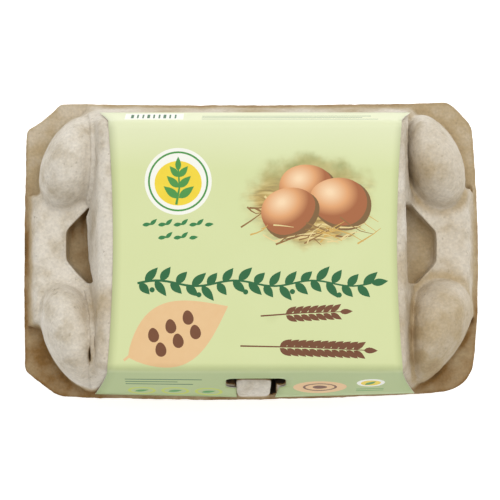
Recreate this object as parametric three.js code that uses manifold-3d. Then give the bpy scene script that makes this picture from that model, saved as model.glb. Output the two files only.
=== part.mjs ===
// A shut six-egg carton of moulded pulp with a paper label glued over its lid.
// Millimetres, +Z up. The origin is the centre of the ground that the carton stands on,
// and the latch faces -Y, the fold between base and lid +Y.
import * as THREE from "three";
import Module from "manifold-3d";
import { mergeVertices } from "three/addons/utils/BufferGeometryUtils.js";

const wasm = await Module();
wasm.setup();

// Driving dimensions of the whole carton
const HEIGHT = 70;
const RIM_LENGTH = 151;
const RIM_DEPTH = 99.2;
const EGG_PITCH_X = 48.5;
const EGG_PITCH_Y = 47;

// The rim: two flanges face to face, folded into each other along the back
const RIM = { top: 41.5, bottom: 37.3, gapTop: 39.8, gapBottom: 39.1, gapDepth: 3.5 };

// The rim's corners, counter-clockwise from the front left: where each would be if it were sharp, how
// far it is cut back along the two edges, and how much of its tip goes: 0 none, 0.5 a straight bevel
const RIM_CORNERS = [
  { x: -75.2, y: -48.6, alongX: 11.3, alongY: 8.4, cut: 0.37 },
  { x: 74.3, y: -47, alongX: 9.8, alongY: 11.4, cut: 0.15 },
  { x: 74.2, y: RIM_DEPTH / 2, alongX: 8.9, alongY: 9.4, cut: 0.45 },
  { x: -75.1, y: 49.2, alongX: 11.2, alongY: 8.9, cut: 0.62 },
];

// The rim's edges are slightly bowed: the middles of the front, right, back and left one
const RIM_MIDDLES = [-49.5, RIM_LENGTH / 2, 48.7, -RIM_LENGTH / 2];
const RIM_STEPS = 6;
const HINGE = { length: 118, depth: 6, inset: 0.3 };

// The lid's flat-topped middle, which the label covers
const PLATFORM = {
  halfX: 49, halfY: 39.5, endDraft: 13, sideDraft: 17, edgeRadius: 3.2, cornerRadius: 2.2, sunk: 0.4,
};

// The lid's egg-shaped corners lean in towards the platform, and no two are quite alike
const DOME = { z: 37, radiusZ: 28.2, fullness: 2.4, lean: 18 };
const DOMES = [
  { x: -59, y: -28, halfShort: 9.9, halfLong: 18.6 },
  { x: 60.4, y: -26.6, halfShort: 10.3, halfLong: 17.8 },
  { x: 60, y: 28.8, halfShort: 10, halfLong: 17 },
  { x: -59.4, y: 28.4, halfShort: 10, halfLong: 17 },
];

// The low shelf between each end pair of domes, and the well in that shelf
const SHELF = { top: 50, halfY: 22.6, footX: 74.4, crownX: 71.4, edgeRadius: 1.6, innerX: 46 };
const WELL = {
  y: 1, front: -11.5, back: 14.6, flare: 1.07, mouthZ: 50, mouthOuterX: 61, mouthOuterHalfY: 5,
  floorZ: 40.3, floorOuterX: 57.6, floorOuterHalfY: 4.8, topZ: 64,
};

// What differs between the two ends: the middle of the shelf, and the ends of the well's inner edge,
// which goes straight down into the platform's sloping wall
const ENDS = [
  { signX: -1, shelfY: -3.6, innerFrontX: 51.5, innerBackX: 53 },
  { signX: 1, shelfY: -1.4, innerFrontX: 50.8, innerBackX: 51.2 },
];

// The base: six cups that run into each other and into a band under the rim, and two hollow posts
const BAND = { bottom: 27.5, halfXTop: 73.4, halfYTop: 47.2, cornerRadius: 17, draft: 7 };
const CUP = {
  footRadius: 13.6, rimHalfX: 24.4, rimHalfY: 23.3, rimZ: 34, fullness: 1.45, squareness: 3.2,
  soleRadius: 9, soleDepth: 0.9,
};
const POST = { mouthRadius: 9, tipRadius: 3, tipZ: 48 };

// The latch: a T-shaped hole in the lid's front wall with the base's tongue standing in it
const LATCH = {
  x: 1.5, headHalf: 9.6, headTop: 60, headBottom: 50, stemHalf: 6.3, stemBottom: 43.6, depth: 5,
};
const TONGUE = { x: 0.9, back: 40 };
const TONGUE_RINGS = [
  { z: 41, half: 4.4, front: 48.9 },
  { z: 49, half: 5, front: 48.3 },
  { z: 54.5, half: 5.5, front: 47.3 },
  { z: 57.5, half: 5.3, front: 46 },
  { z: 59.2, half: 4.4, front: 44.2 },
];

// The label: paper over the platform, its ends waisted on top and flared on the flaps
const LABEL = {
  thickness: 0.3, clearance: 0.35, shiftX: 1.2, frontBottomZ: 42.4, backBottomZ: 56,
  waistHalf: 45.6, foldHalf: 47.3, flareHalf: 52.3, flarePower: 1.4,
};

const CORNER_STEPS = 5;
const ROUND_STEPS = 32;
const rad = THREE.MathUtils.degToRad;

// How far a lofted piece reaches into the flange that it stands on
const ROOT = 0.5;

// Ring of points, counter-clockwise seen from above, round a rectangle with rounded corners
function roundedRectangle(halfX, halfY, radius, z, centreX = 0, centreY = 0) {
  const ring = [];
  for (let corner = 0; corner < 4; corner++) {
    const signX = corner === 0 || corner === 3 ? 1 : -1;
    const signY = corner < 2 ? 1 : -1;
    for (let step = 0; step <= CORNER_STEPS; step++) {
      const angle = (corner + step / CORNER_STEPS) * (Math.PI / 2);
      ring.push(new THREE.Vector3(
        centreX + signX * (halfX - radius) + radius * Math.cos(angle),
        centreY + signY * (halfY - radius) + radius * Math.sin(angle),
        z,
      ));
    }
  }
  return ring;
}

// Ring of points round a superellipse: power 2 is a circle, and more is squarer
function superellipse(halfX, halfY, power, z, centreX, centreY) {
  const ring = [];
  for (let step = 0; step < ROUND_STEPS; step++) {
    const angle = (step / ROUND_STEPS) * 2 * Math.PI;
    const c = Math.cos(angle);
    const s = Math.sin(angle);
    const reach = (Math.abs(c) ** power + Math.abs(s) ** power) ** (-1 / power);
    ring.push(new THREE.Vector3(centreX + halfX * reach * c, centreY + halfY * reach * s, z));
  }
  return ring;
}

// Closed solid through rings of equal length, from the lowest up, with flat convex ends
function loft(rings) {
  const count = rings[0].length;
  const positions = rings.flat().flatMap((p) => [p.x, p.y, p.z]);
  const index = [];
  for (let level = 0; level + 1 < rings.length; level++) {
    for (let i = 0; i < count; i++) {
      const a = level * count + i;
      const b = level * count + ((i + 1) % count);
      index.push(a, b, b + count, a, b + count, a + count);
    }
  }
  const top = (rings.length - 1) * count;
  for (let i = 1; i + 1 < count; i++) {
    index.push(0, i + 1, i);
    index.push(top, top + i, top + i + 1);
  }
  const geometry = new THREE.BufferGeometry();
  geometry.setAttribute("position", new THREE.Float32BufferAttribute(positions, 3));
  geometry.setIndex(index);
  return geometry;
}

function solid(geometry) {
  const bare = geometry.clone();
  bare.deleteAttribute("normal");
  bare.deleteAttribute("uv");
  const merged = mergeVertices(bare, 1e-4);
  return new wasm.Manifold(new wasm.Mesh({
    numProp: 3,
    vertProperties: new Float32Array(merged.attributes.position.array),
    triVerts: new Uint32Array(merged.index.array),
  }));
}

function geometryOf(manifold) {
  const mesh = manifold.getMesh();
  const geometry = new THREE.BufferGeometry();
  geometry.setAttribute("position", new THREE.BufferAttribute(new Float32Array(mesh.vertProperties), 3));
  geometry.setIndex(new THREE.BufferAttribute(new Uint32Array(mesh.triVerts), 1));
  geometry.computeVertexNormals();
  return geometry;
}

const bothSigns = [-1, 1];
const cells = [-1, 0, 1].flatMap((column) => bothSigns.map(
  (row) => [column * EGG_PITCH_X, (row * EGG_PITCH_Y) / 2],
));

// A number drawn in towards zero
function inward(value, inset) {
  return value - Math.sign(value) * inset;
}

// Rim outline with cut corners and slightly bowed edges, drawn in by inset all round
function rimShape(inset) {
  const corners = RIM_CORNERS.map(({ x, y, alongX, alongY, cut }, i) => {
    const tip = [inward(x, inset), inward(y, inset)];
    const onSide = [tip[0], inward(tip[1], alongY)];
    const onLongEdge = [inward(tip[0], alongX), tip[1]];
    const control = [inward(tip[0], cut * alongX), inward(tip[1], cut * alongY)];
    const [from, to] = i % 2 ? [onLongEdge, onSide] : [onSide, onLongEdge];
    return { from, control, to };
  });
  const shape = new THREE.Shape();
  shape.moveTo(...corners[0].from);
  corners.forEach(({ control, to }, i) => {
    const next = corners[(i + 1) % corners.length].from;
    const axis = i % 2 ? 0 : 1;
    const bend = [(to[0] + next[0]) / 2, (to[1] + next[1]) / 2];
    bend[axis] = 2 * inward(RIM_MIDDLES[i], inset) - bend[axis];
    shape.quadraticCurveTo(...control, ...to);
    shape.quadraticCurveTo(...bend, ...next);
  });
  return shape;
}

function plate(inset, bottom, top) {
  const options = { depth: top - bottom, bevelEnabled: false, curveSegments: RIM_STEPS };
  return solid(new THREE.ExtrudeGeometry(rimShape(inset), options).translate(0, 0, bottom));
}

// Two flanges with a gap between them that is closed along the back, where they are one fold
function rim() {
  const flanges = plate(0, RIM.gapTop, RIM.top).add(plate(0, RIM.bottom, RIM.gapBottom));
  const strip = new THREE.BoxGeometry(HINGE.length, HINGE.depth, RIM.top - RIM.bottom);
  strip.translate(0, (RIM_DEPTH - HINGE.depth) / 2, (RIM.top + RIM.bottom) / 2);
  const fold = plate(HINGE.inset, RIM.bottom, RIM.top).intersect(solid(strip));
  return flanges.add(plate(RIM.gapDepth, RIM.bottom, RIM.top)).add(fold);
}

// Half-size of the platform's wall at a height, for one axis
function wallAt(half, draft, z) {
  return half + (HEIGHT - z) * Math.tan(rad(draft));
}

function platform() {
  const ring = (z, drawnIn) => roundedRectangle(
    wallAt(PLATFORM.halfX, PLATFORM.endDraft, z) - drawnIn,
    wallAt(PLATFORM.halfY, PLATFORM.sideDraft, z) - drawnIn,
    PLATFORM.cornerRadius, z,
  );
  const rings = [ring(RIM.top - PLATFORM.sunk, 0)];
  const steps = 4;
  for (let step = 0; step <= steps; step++) {
    const angle = (step / steps) * (Math.PI / 2);
    const z = HEIGHT - PLATFORM.edgeRadius * (1 - Math.sin(angle));
    rings.push(ring(z, PLATFORM.edgeRadius * 0.6 * (1 - Math.cos(angle))));
  }
  return solid(loft(rings)).intersect(plate(PLATFORM.sunk / 2, RIM.bottom, HEIGHT + 1));
}

// One egg-shaped corner, turned about its upright axis, then stretched and leaned to its plan
function dome({ x, y, halfShort, halfLong }) {
  const profile = [new THREE.Vector2(0, 0)];
  const steps = 11;
  for (let step = 0; step < steps; step++) {
    const angle = (step / steps) * (Math.PI / 2);
    const rise = Math.sin(angle) ** (2 / DOME.fullness);
    const reach = Math.cos(angle) ** (2 / DOME.fullness);
    profile.push(new THREE.Vector2(reach, rise * DOME.radiusZ));
  }
  profile.push(new THREE.Vector2(0, DOME.radiusZ));
  const turned = new THREE.LatheGeometry(profile, ROUND_STEPS);
  turned.rotateX(Math.PI / 2);
  turned.scale(halfShort, halfLong, 1);
  turned.rotateZ(Math.sign(x * y) * rad(DOME.lean));
  turned.translate(x, y, DOME.z);
  return solid(turned);
}

function shelf({ signX, shelfY }) {
  const ring = (z, outerX, halfY) => roundedRectangle(
    (outerX - SHELF.innerX) / 2, halfY, 1.5, z, (signX * (outerX + SHELF.innerX)) / 2, shelfY,
  );
  const shoulder = SHELF.top - SHELF.edgeRadius;
  return solid(loft([
    ring(RIM.bottom + ROOT, SHELF.footX, SHELF.halfY),
    ring(RIM.top, SHELF.footX, SHELF.halfY),
    ring(shoulder, SHELF.crownX, SHELF.halfY - 2),
    ring(SHELF.top - SHELF.edgeRadius / 3, SHELF.crownX - SHELF.edgeRadius / 3, SHELF.halfY - 2.4),
    ring(SHELF.top, SHELF.crownX - SHELF.edgeRadius, SHELF.halfY - 3.2),
  ]));
}

// The well's cutter: six-sided, upright but for its outer wall, and carried up past the lid
function well({ signX, innerFrontX, innerBackX }) {
  const ring = (z) => {
    const t = Math.min((z - WELL.floorZ) / (WELL.mouthZ - WELL.floorZ), 1);
    const at = (floor, mouth) => floor + (mouth - floor) * t;
    const outerX = at(WELL.floorOuterX, WELL.mouthOuterX);
    const outerHalf = at(WELL.floorOuterHalfY, WELL.mouthOuterHalfY);
    const front = WELL.y - outerHalf;
    const back = WELL.y + outerHalf;
    const points = [
      [innerFrontX, WELL.front], [outerX - (front - WELL.front) / WELL.flare, WELL.front],
      [outerX, front], [outerX, back],
      [outerX - (WELL.back - back) / WELL.flare, WELL.back], [innerBackX, WELL.back],
    ];
    const ordered = signX > 0 ? points : points.reverse();
    return ordered.map(([x, y]) => new THREE.Vector3(signX * x, y, z));
  };
  return solid(loft([ring(WELL.floorZ), ring(WELL.mouthZ), ring(WELL.topZ)]));
}

function band() {
  const ring = (z) => {
    const drawnIn = (RIM.bottom - z) * Math.tan(rad(BAND.draft));
    return roundedRectangle(BAND.halfXTop - drawnIn, BAND.halfYTop - drawnIn, BAND.cornerRadius, z);
  };
  return solid(loft([ring(BAND.bottom), ring(RIM.bottom + ROOT)]));
}

// One cup, round at its foot and squarer towards the band, with a slightly full wall
function cup(x, y) {
  const steps = 6;
  const rings = [];
  for (let step = 0; step <= steps; step++) {
    const t = step / steps;
    const spread = 1 - (1 - t) ** CUP.fullness;
    const halfX = CUP.footRadius + (CUP.rimHalfX - CUP.footRadius) * spread;
    const halfY = CUP.footRadius + (CUP.rimHalfY - CUP.footRadius) * spread;
    rings.push(superellipse(halfX, halfY, 2 + (CUP.squareness - 2) * t, CUP.rimZ * t, x, y));
  }
  return solid(loft(rings));
}

function sole(x, y) {
  const cutter = new THREE.CylinderGeometry(CUP.soleRadius, CUP.soleRadius, CUP.soleDepth * 2, ROUND_STEPS);
  return solid(cutter.rotateX(Math.PI / 2).translate(x, y, 0));
}

function post(x) {
  const { mouthRadius, tipRadius, tipZ } = POST;
  const height = tipZ - BAND.bottom + 1;
  const cone = new THREE.CylinderGeometry(tipRadius, mouthRadius, height, 20);
  return solid(cone.rotateX(Math.PI / 2).translate(x, 0, tipZ - height / 2));
}

// Outline of the T-shaped hole in the lid's front wall, let out by grow, with its stem down to a height
function latchShape(grow, stemBottom) {
  const head = LATCH.headHalf + grow;
  const stem = LATCH.stemHalf + grow;
  const shape = new THREE.Shape();
  shape.moveTo(-stem + 1, stemBottom);
  shape.lineTo(stem - 1, stemBottom);
  shape.lineTo(stem + 1.2, LATCH.headBottom - 1 - grow);
  shape.quadraticCurveTo(head, LATCH.headBottom - grow, head, LATCH.headBottom + 3);
  shape.quadraticCurveTo(head, LATCH.headTop + grow, head - 4, LATCH.headTop + grow);
  shape.lineTo(-head + 4, LATCH.headTop + grow);
  shape.quadraticCurveTo(-head, LATCH.headTop + grow, -head, LATCH.headBottom + 3);
  shape.quadraticCurveTo(-head, LATCH.headBottom - grow, -stem - 1.2, LATCH.headBottom - 1 - grow);
  return shape;
}

// Bar of that outline from well in front of the carton back to a given y
function latchBar(shape, backY) {
  const depth = RIM_DEPTH / 2 + 5 - backY;
  const bar = new THREE.ExtrudeGeometry(shape, { depth, bevelEnabled: false, curveSegments: 4 });
  return solid(bar.rotateX(Math.PI / 2).translate(LATCH.x, -backY, 0));
}

// The hole is as deep at the bottom as at the top, so its back follows the sloping wall
function latchHole() {
  const hole = latchBar(latchShape(0, LATCH.stemBottom), PLATFORM.halfY - 2);
  const behind = (z) => wallAt(PLATFORM.halfY, PLATFORM.sideDraft, z) - LATCH.depth;
  const ring = (z) => [
    new THREE.Vector3(-30, -80, z), new THREE.Vector3(30, -80, z),
    new THREE.Vector3(30, -behind(z), z), new THREE.Vector3(-30, -behind(z), z),
  ];
  return hole.intersect(solid(loft([ring(RIM.top), ring(HEIGHT)])));
}

function tongue() {
  const rings = TONGUE_RINGS.map(({ z, half, front }) => roundedRectangle(
    half, (front - TONGUE.back) / 2, 1.8, z, TONGUE.x, -(front + TONGUE.back) / 2,
  ));
  return solid(loft(rings));
}

function carton() {
  let body = rim().add(platform()).add(band());
  for (const sizes of DOMES) body = body.add(dome(sizes));
  for (const end of ENDS) body = body.add(shelf(end)).subtract(well(end));
  for (const [x, y] of cells) body = body.add(cup(x, y));
  for (const [x, y] of cells) body = body.subtract(sole(x, y));
  for (const signX of bothSigns) body = body.subtract(post((signX * EGG_PITCH_X) / 2));
  return body.subtract(latchHole()).add(tongue());
}

// The label's path over the lid at a distance off it: front flap, top and back flap, as [y, z]
function labelPath(off) {
  const steps = 4;
  const radius = PLATFORM.edgeRadius * 0.75 + off;
  const draft = rad(PLATFORM.sideDraft);
  const turn = Math.PI / 2 - draft;
  const top = HEIGHT + off;
  const setback = radius * Math.tan(turn / 2);
  const edge = PLATFORM.halfY - off * Math.tan(draft) + off / Math.cos(draft);
  const path = [];
  const wall = (z) => edge + (top - z) * Math.tan(draft);
  path.push([wall(LABEL.frontBottomZ), LABEL.frontBottomZ]);
  for (let step = 0; step <= steps; step++) {
    const angle = draft + (step / steps) * turn;
    path.push([edge - setback + radius * Math.cos(angle), top - radius + radius * Math.sin(angle)]);
  }
  const across = 5;
  const flatHalf = edge - setback;
  for (let step = 1; step < across; step++) path.push([flatHalf * (1 - (2 * step) / across), top]);
  for (let step = steps; step >= 0; step--) path.push([-path[step + 1][0], path[step + 1][1]]);
  path.push([-wall(LABEL.backBottomZ), LABEL.backBottomZ]);
  return path.map(([y, z]) => [-y, z]);
}

// Half-length of the label where its path passes a point
function labelHalf([y, z]) {
  const fold = PLATFORM.halfY;
  const waist = LABEL.waistHalf + (LABEL.foldHalf - LABEL.waistHalf) * Math.min(1, Math.abs(y) / fold) ** 2;
  const down = Math.max(0, HEIGHT - z) / (HEIGHT - LABEL.frontBottomZ);
  return waist + (LABEL.flareHalf - LABEL.foldHalf) * down ** LABEL.flarePower;
}

// Paper along the path: each cross-section is a thin rectangle, from the left end to the right
function label() {
  const inner = labelPath(LABEL.clearance);
  const outer = labelPath(LABEL.clearance + LABEL.thickness);
  const sections = inner.map((low, i) => {
    const half = labelHalf(outer[i]);
    const high = outer[i];
    return [[-half, low], [half, low], [half, high], [-half, high]].map(
      ([x, [y, z]]) => new THREE.Vector3(x + LABEL.shiftX, y, z),
    );
  });
  const paper = solid(loft(refine(sections).reverse()));
  return paper.subtract(latchBar(latchShape(0.4, RIM.top - 1), PLATFORM.halfY - 1));
}

// More sections along the flaps, so that their ends curve
function refine(sections) {
  const flapSteps = 5;
  const between = (a, b, t) => a.map((p, i) => p.clone().lerp(b[i], t));
  const refined = [];
  sections.forEach((section, i) => {
    refined.push(section);
    const next = sections[i + 1];
    const isFlap = i === 0 || i === sections.length - 2;
    if (!next || !isFlap) return;
    for (let step = 1; step < flapSteps; step++) {
      const made = between(section, next, step / flapSteps);
      const half = labelHalf([made[3].y, made[3].z]);
      made.forEach((p, k) => { p.x = LABEL.shiftX + (k === 1 || k === 2 ? half : -half); });
      refined.push(made);
    }
  });
  return refined;
}

function mesh(name, manifold, color, roughness) {
  const material = new THREE.MeshStandardMaterial({ color, roughness, metalness: 0 });
  const made = new THREE.Mesh(geometryOf(manifold), material);
  made.name = name;
  return made;
}

const eggCarton = new THREE.Group();
eggCarton.add(mesh("carton", carton(), 0xcdc1af, 0.95));
eggCarton.add(mesh("label", label(), 0xdfe6b4, 0.6));

export default eggCarton;
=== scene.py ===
# A shut egg carton of moulded pulp with a printed paper label over its lid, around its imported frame.
# Objects are in metres. Sizes are in millimetres in the same axes, +Z up, with the latch towards -Y,
# and become metres when a mesh is made.
import math
import random
from collections import namedtuple

import bmesh
import bpy
import numpy as np
import openvdb
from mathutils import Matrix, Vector
from mathutils.geometry import delaunay_2d_cdt


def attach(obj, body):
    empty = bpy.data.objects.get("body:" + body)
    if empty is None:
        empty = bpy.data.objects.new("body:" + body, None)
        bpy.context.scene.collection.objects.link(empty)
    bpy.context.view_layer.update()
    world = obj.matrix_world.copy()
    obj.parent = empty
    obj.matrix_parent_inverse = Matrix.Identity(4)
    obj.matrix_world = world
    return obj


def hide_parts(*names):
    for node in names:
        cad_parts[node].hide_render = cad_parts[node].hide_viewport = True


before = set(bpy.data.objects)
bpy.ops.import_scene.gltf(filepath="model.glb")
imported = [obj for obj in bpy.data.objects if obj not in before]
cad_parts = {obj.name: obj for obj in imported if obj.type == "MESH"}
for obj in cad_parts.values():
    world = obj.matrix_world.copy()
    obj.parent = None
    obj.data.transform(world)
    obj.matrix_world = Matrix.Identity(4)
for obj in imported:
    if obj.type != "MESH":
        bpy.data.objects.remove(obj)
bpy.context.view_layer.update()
scene = bpy.context.scene

# Camera, floor and studio light. The photo looks down on the lid from just in front of straight above,
# through a long lens. The light is a white room, brightest overhead, with one large soft source there.
MM = 0.001
PHOTO_SIZE = 500
FOCAL_PIXELS = 2400
CAMERA_TARGET = (-0.4, 0.2, 41.0)
CAMERA_DISTANCE = 800
CAMERA_ELEVATION = 86.5
# The room's light grows along its axis, from a direction a little below the horizon
ROOM_LIGHT = {"axis": (0.1, 0.2, 0.97), "from": -0.3, "low": 0.08, "high": 0.85}
KEY_LIGHT = {"place": (100, 260, 950), "aim": (0, 0, 40), "size": 700, "watts": 3.7}
FLOOR_HALF_WIDTH = 3000


def metres(*point):
    return Vector(point) * MM


def linear(hex_colour):
    levels = [int(hex_colour[i:i + 2], 16) / 255 for i in (1, 3, 5)]
    return [v / 12.92 if v <= 0.04045 else ((v + 0.055) / 1.055) ** 2.4 for v in levels] + [1.0]


# An input is given as a value, as a socket, or as a node, whose first output it takes
def add_node(tree, kind, inputs=None, **settings):
    node = tree.nodes.new(kind)
    for name, value in settings.items():
        setattr(node, name, value)
    for socket, value in (inputs or {}).items():
        value = value.outputs[0] if isinstance(value, bpy.types.Node) else value
        if isinstance(value, bpy.types.NodeSocket):
            tree.links.new(value, node.inputs[socket])
        else:
            node.inputs[socket].default_value = value
    return node


def empty_material(name):
    material = bpy.data.materials.new(name)
    material.use_nodes = True
    material.node_tree.nodes.clear()
    return material


def placed(name, data):
    made = bpy.data.objects.new(name, data)
    scene.collection.objects.link(made)
    return made


def look_from(thing, place, target):
    thing.location = place
    thing.rotation_euler = (target - place).to_track_quat("-Z", "Y").to_euler()


camera = placed("camera", bpy.data.cameras.new("camera"))
camera.data.lens = FOCAL_PIXELS / PHOTO_SIZE * camera.data.sensor_width
tilt = math.radians(CAMERA_ELEVATION)
target = metres(*CAMERA_TARGET)
look_from(camera, target + metres(0, -math.cos(tilt), math.sin(tilt)) * CAMERA_DISTANCE, target)
scene.camera = camera
scene.view_settings.view_transform = "Standard"

world = bpy.data.worlds.new("studio")
world.use_nodes = True
room = world.node_tree
direction = add_node(room, "ShaderNodeTexCoord").outputs["Generated"]
upward = add_node(room, "ShaderNodeVectorMath",
                  {0: direction, 1: ROOM_LIGHT["axis"]}, operation="DOT_PRODUCT")
glow = add_node(room, "ShaderNodeMapRange",
                {"Value": upward.outputs["Value"], "From Min": ROOM_LIGHT["from"], "From Max": 1.0,
                 "To Min": ROOM_LIGHT["low"], "To Max": ROOM_LIGHT["high"]})
room.nodes["Background"].inputs["Color"].default_value = linear("#fffefb")
room.links.new(glow.outputs[0], room.nodes["Background"].inputs["Strength"])
scene.world = world

key = bpy.data.lights.new("key", "AREA")
key.size = KEY_LIGHT["size"] * MM
key.energy = KEY_LIGHT["watts"]
look_from(placed("key", key), metres(*KEY_LIGHT["place"]), metres(*KEY_LIGHT["aim"]))

# White backdrop paper, matt. It glows a little, so that it stays as white as in the photo.
corners = [metres(x, y, 0) * FLOOR_HALF_WIDTH for x, y in ((-1, -1), (1, -1), (1, 1), (-1, 1))]
floor_mesh = bpy.data.meshes.new("floor")
floor_mesh.from_pydata(corners, [], [(0, 1, 2, 3)])
floor = placed("floor", floor_mesh)
floor_paper = empty_material("white_backdrop_paper")
shader = add_node(floor_paper.node_tree, "ShaderNodeBsdfPrincipled",
                  {"Base Color": linear("#fafafa"), "Roughness": 0.9, "Specular IOR Level": 0.1,
                   "Emission Color": linear("#ffffff"), "Emission Strength": 0.5})
add_node(floor_paper.node_tree, "ShaderNodeOutputMaterial", {"Surface": shader})
floor_mesh.materials.append(floor_paper)

# Pulp carton: lid and base, moulded in one piece from grey-beige waste-paper pulp and folded shut along
# the back. Wet pulp leaves no sharp edge, so each half is one field of distances in which every wall runs
# into the next with a fillet, and the surface is drawn where the field is zero.
HEIGHT = 70.0
RIM = {"top": 41.5, "gap_top": 39.9, "gap_bottom": 39.1, "bottom": 37.3, "gap_depth": 3.5, "edge": 0.6,
       "inset": 0.3}
# The rim's corners, counter-clockwise from the front left: where each would be if it were sharp, how far it
# is cut along the two edges, how far the middle of the cut stands out, and how round its ends are
RIM_CORNERS = [
    (-75.2, -48.6, 11.3, 8.4, 0.1, 1.2),
    (74.3, -47.0, 9.8, 11.4, 2.6, 0.6),
    (73.7, 49.6, 7.6, 7.8, 0.2, 1.2),
    (-75.1, 49.2, 11.2, 8.9, -0.8, 1.2),
]
# The rim's edges bow a little: the middles of the front, right, back and left one
RIM_MIDDLES = (-49.5, 75.5, 48.7, -75.5)
# The fold that joins the two rims at the back: half its length, and where it begins
HINGE_HALF, HINGE_Y = 59.0, 43.6
# Where lid and base part, and how near that a point of the cut lies
PARTING, PARTING_SLACK = 39.5, 0.02
PLATFORM = {"half_x": 49.0, "half_y": 39.5, "end_draft": 13.0, "side_draft": 17.0, "corner": 2.6,
            "edge": 3.0}
# How far the platform's front wall has drawn back at one place
FRONT_BOW = {"x": 52, "drop": 28, "back": 1.2}
# Each dome: side, middle in x and y, half-width, half-length, how much slimmer its outer end is, the width
# and depth of the groove pressed round its foot, where a depth below zero is a ridge, how far down that
# goes, the fillet there, and the fillet towards the platform's wall
Dome = namedtuple("Dome", "side x y half_short half_long slim width depth low fillet valley")
DOMES = [
    Dome(-1, 58.8, -28.0, 9.9, 18.6, 0.10, 0.6, -0.75, 49.2, 1.5, 2.7),
    Dome(1, 60.4, -26.6, 10.4, 18.4, 0.36, 0.5, -0.3, 51.0, 0.9, 1.3),
    Dome(-1, 59.4, 28.4, 10.0, 17.0, 0.10, 0.6, -0.8, 51.0, 1.8, 3.0),
    Dome(1, 60.0, 28.8, 10.1, 17.2, 0.08, 1.6, 2.6, 51.0, 1.0, 1.0),
]
DOME_Z, DOME_RADIUS_Z, DOME_FULLNESS, DOME_LEAN = 37.0, 28.2, 2.4, 18.0
# Small pits where the mould left too little pulp: middle, half sizes, and how dark each is inside, a painted
# shade
Pit = namedtuple("Pit", "x y z half_x half_y half_z tan")
PITS = [
    Pit(-51.7, -34.6, 59.4, 1.0, 2.9, 2.4, 0.95),
    Pit(72.5, 20.4, 42.2, 1.2, 1.8, 1.8, 0.7),
    Pit(72.6, -23.4, 42.2, 1.2, 2.2, 1.6, 0.9),
    Pit(-73.4, 19.9, 42.0, 0.9, 1.8, 1.3, 0.35),
    Pit(-73.0, -26.8, 42.0, 1.2, 1.6, 1.4, 0.55),
]
SHELF = {"top": 50.0, "half_y": 22.6, "end_draw": 2, "foot_x": 74.4, "crown_x": 71.4, "wall_cos": 0.94,
         "inner_x": 46, "corner": 1.2, "edge": 1.8}
SHELF_Y = {-1: -3.6, 1: -1.4}
# The wells go straight down beside the lid's middle. Their inner edge isn't parallel to it: x at some y
WELL = {"mouth_z": 50.0, "floor_z": 40.3, "floor_x": 51, "rise_out": 0.12, "rise_front": 0.08,
        "outer": (60.2, 61.0), "outer_half": (4.8, 5.0), "flare": 1.07, "front": -11.5, "back": 14.6,
        "outer_corner": 1.2, "inner_corner": 0.5, "flank_corner": 0.4, "floor_corner": 2.0}
WELL_LIP = {"width": 0.7, "rise": 0.8, "foot": 44, "edge": 0.6}
WELL_Y = {-1: 1.0, 1: 0.6}
WELL_INNER = {-1: ((-12.0, -4.0, 10.5, 15.0), (51.5, 53.4, 54.4, 52.6)),
              1: ((-12.0, 0.0, 15.0), (51.0, 50.5, 50.1))}
EGG_PITCH_X, EGG_PITCH_Y = 48.5, 47.0
BAND = {"bottom": 27.5, "half_x": 73.4, "half_y": 47.2, "corner": 17.0, "draft": 7.0, "edge": 0.8}
# The pulp's relief brings the cups' feet down from foot_z to the table
CUP = {"foot_z": 0.25, "foot": 13.6, "foot_edge": 1.6, "rim_x": 24.4, "rim_y": 23.3, "rim_z": 34.0,
       "fullness": 1.45, "squareness": 3.2}
SOLE = {"radius": 9.0, "depth": 1.1, "edge": 0.4}
POST = {"mouth": 9.0, "tip": 3.0, "tip_z": 48.0, "tip_edge": 1.5}
LATCH = {"x": 1.5, "head_half": 9.6, "head": (52.6, 61.2), "head_corner": 2.2, "stem_half": 6.5,
         "stem": (42.6, 58.2), "stem_corner": 1.2, "depth": 5.0}
# The tongue of the base stands up in the latch hole: its half width and its front at five heights
TONGUE_X, TONGUE_BACK, TONGUE_EDGE = 0.8, 40.0, 1.6
TONGUE_Z = (41.0, 49.0, 54.5, 57.5, 59.2)
TONGUE_HALF = (5.4, 5.5, 5.6, 5.6, 5.2)
TONGUE_FRONT = (48.8, 48.3, 47.3, 46.0, 44.2)
# The fillets where a wall rises from the rim, round what is pressed into the lid, at the tongue's foot,
# between the base's cups and below its rim, and the edge of a cut that shows no rounding
FILLET = {"wall": 1.3, "lip": 0.5, "well": 0.5, "pit": 0.7, "hole": 0.7, "tongue": 0.8, "cups": 2.2,
          "band": 1.0, "post": 1.5, "crisp": 0.3}
# The grids that the two halves' fields are worked out on
LID_GRID = {"pitch": 0.62, "low": 38.0, "high": 72.5}
BASE_GRID = {"pitch": 0.78, "low": -2.25, "high": 42.0}
GRID_X, GRID_Y = (-77.2, 77.5), (-51.2, 51.5)

# The places that a field is worked out at: a whole grid, or a mesh's points
Points = namedtuple("Points", "x y z pitch corner")


def grid_points(pitch, low, high):
    ranges = [np.arange(*span, pitch, dtype=np.float32) for span in (GRID_X, GRID_Y, (low, high))]
    return Points(*np.meshgrid(*ranges, indexing="ij", sparse=True), pitch, [r[0] for r in ranges])


def tangent(degrees):
    return math.tan(math.radians(degrees))


# Where both fields are negative, with the edge between their walls rounded
def round_max(a, b, radius):
    corner = np.hypot(np.maximum(a + radius, 0), np.maximum(b + radius, 0))
    return np.minimum(np.maximum(a, b), -radius) + corner


# Where either field is negative, with the inner corner between their walls filled
def round_min(a, b, radius):
    return -round_max(-a, -b, radius)


# A field that is zero in the right place, scaled to measure millimetres near there
def as_distance(field, pitch):
    slope = np.sqrt(sum(part**2 for part in np.gradient(field, pitch)))
    return field / np.maximum(slope, 0.01)


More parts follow.
